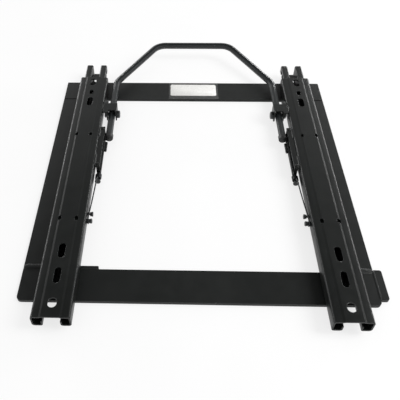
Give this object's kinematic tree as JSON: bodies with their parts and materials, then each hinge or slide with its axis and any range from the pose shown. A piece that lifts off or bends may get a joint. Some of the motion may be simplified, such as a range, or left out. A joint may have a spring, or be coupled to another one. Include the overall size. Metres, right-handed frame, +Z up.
{
  "type": "seat slide rail",
  "caption": "Pair of ball-bearing seat slide rails on a welded flat-bar base frame, with toothed latches and a bent tube handle that releases both.",
  "frame": {"origin": "middle of the bounding box, at its bottom", "axes": "+X to the right, +Y along the rails to the front of the seat where the handle is, +Z up"},
  "size_m": [0.4812, 0.6086, 0.0373],
  "materials": {
    "powder_coat": "satin black powder coat",
    "zinc": "dark zinc",
    "ball_steel": "ground",
    "spring_steel": "black oiled",
    "cap_plastic": "matte",
    "cage_plastic": "matte"
  },
  "bodies": {
    "base": {"rear_cross_bar": "powder_coat", "front_cross_bar": "powder_coat", "left_side_plate": "powder_coat", "right_side_plate": "powder_coat", "left_rear_gusset": "powder_coat", "right_rear_tab": "powder_coat", "left_lower_rail": "powder_coat", "right_lower_rail": "powder_coat", "left_rear_rail_screw": "zinc", "left_front_rail_screw": "zinc", "right_rear_rail_screw": "zinc", "right_front_rail_screw": "zinc", "left_rear_rail_nut": "zinc", "left_front_rail_nut": "zinc", "right_rear_rail_nut": "zinc", "right_front_rail_nut": "zinc"},
    "carriage": {"left_upper_rail": "powder_coat", "right_upper_rail": "powder_coat", "left_pivot_bracket": "powder_coat", "right_pivot_bracket": "powder_coat", "left_pivot_bolt": "zinc", "right_pivot_bolt": "zinc", "left_pivot_nut": "zinc", "right_pivot_nut": "zinc", "left_latch_bracket": "powder_coat", "right_latch_bracket": "powder_coat", "left_latch_pin": "zinc", "right_latch_pin": "zinc", "left_return_spring": "spring_steel", "right_return_spring": "spring_steel", "left_spring_anchor": "zinc", "right_spring_anchor": "zinc"},
    "ball_cages": {"left_outer_cage": "cage_plastic", "left_inner_rear_cage": "cage_plastic", "left_inner_front_cage": "cage_plastic", "right_outer_cage": "cage_plastic", "right_inner_rear_cage": "cage_plastic", "right_inner_front_cage": "cage_plastic", "left_outer_rear_upper_ball": "ball_steel", "left_outer_rear_lower_ball": "ball_steel", "left_outer_front_upper_ball": "ball_steel", "left_outer_front_lower_ball": "ball_steel", "left_inner_rear_upper_ball": "ball_steel", "left_inner_rear_lower_ball": "ball_steel", "left_inner_front_upper_ball": "ball_steel", "left_inner_front_lower_ball": "ball_steel", "right_outer_rear_upper_ball": "ball_steel", "right_outer_rear_lower_ball": "ball_steel", "right_outer_front_upper_ball": "ball_steel", "right_outer_front_lower_ball": "ball_steel", "right_inner_rear_upper_ball": "ball_steel", "right_inner_rear_lower_ball": "ball_steel", "right_inner_front_upper_ball": "ball_steel", "right_inner_front_lower_ball": "ball_steel"},
    "handle": {"handle_tube": "powder_coat", "left_handle_cap": "cap_plastic", "right_handle_cap": "cap_plastic"},
    "left_latch": {"left_latch": "powder_coat"},
    "right_latch": {"right_latch": "powder_coat"}
  },
  "joints": [
    {"name": "carriage_slide", "type": "slide", "parent": "base", "child": "carriage", "axis": [0, 1, 0], "range_m": [-0.075, 0.1]},
    {"name": "cage_slide", "type": "slide", "parent": "base", "child": "ball_cages", "axis": [0, 1, 0], "range_m": [-0.0375, 0.05]},
    {"name": "handle_pivot", "type": "hinge", "parent": "carriage", "child": "handle", "pos_m": [-0.00315, 0.1001, 0.0186], "axis": [1, 0, 0], "range_deg": [-3.2, 1.6], "stiffness_Nm_per_rad": 40, "springref_deg": 0.34},
    {"name": "left_latch_hinge", "type": "hinge", "parent": "carriage", "child": "left_latch", "pos_m": [-0.15615, 0.0091, 0.009], "axis": [0, 1, 0], "range_deg": [-16, 8]},
    {"name": "right_latch_hinge", "type": "hinge", "parent": "carriage", "child": "right_latch", "pos_m": [0.14985, 0.0091, 0.009], "axis": [0, -1, 0], "range_deg": [-16, 8]}
  ],
  "couplings": [
    {"joint": "cage_slide", "follows": "carriage_slide", "ratio": 0.5},
    {"joint": "left_latch_hinge", "follows": "handle_pivot", "ratio": 5},
    {"joint": "right_latch_hinge", "follows": "handle_pivot", "ratio": 5}
  ]
}
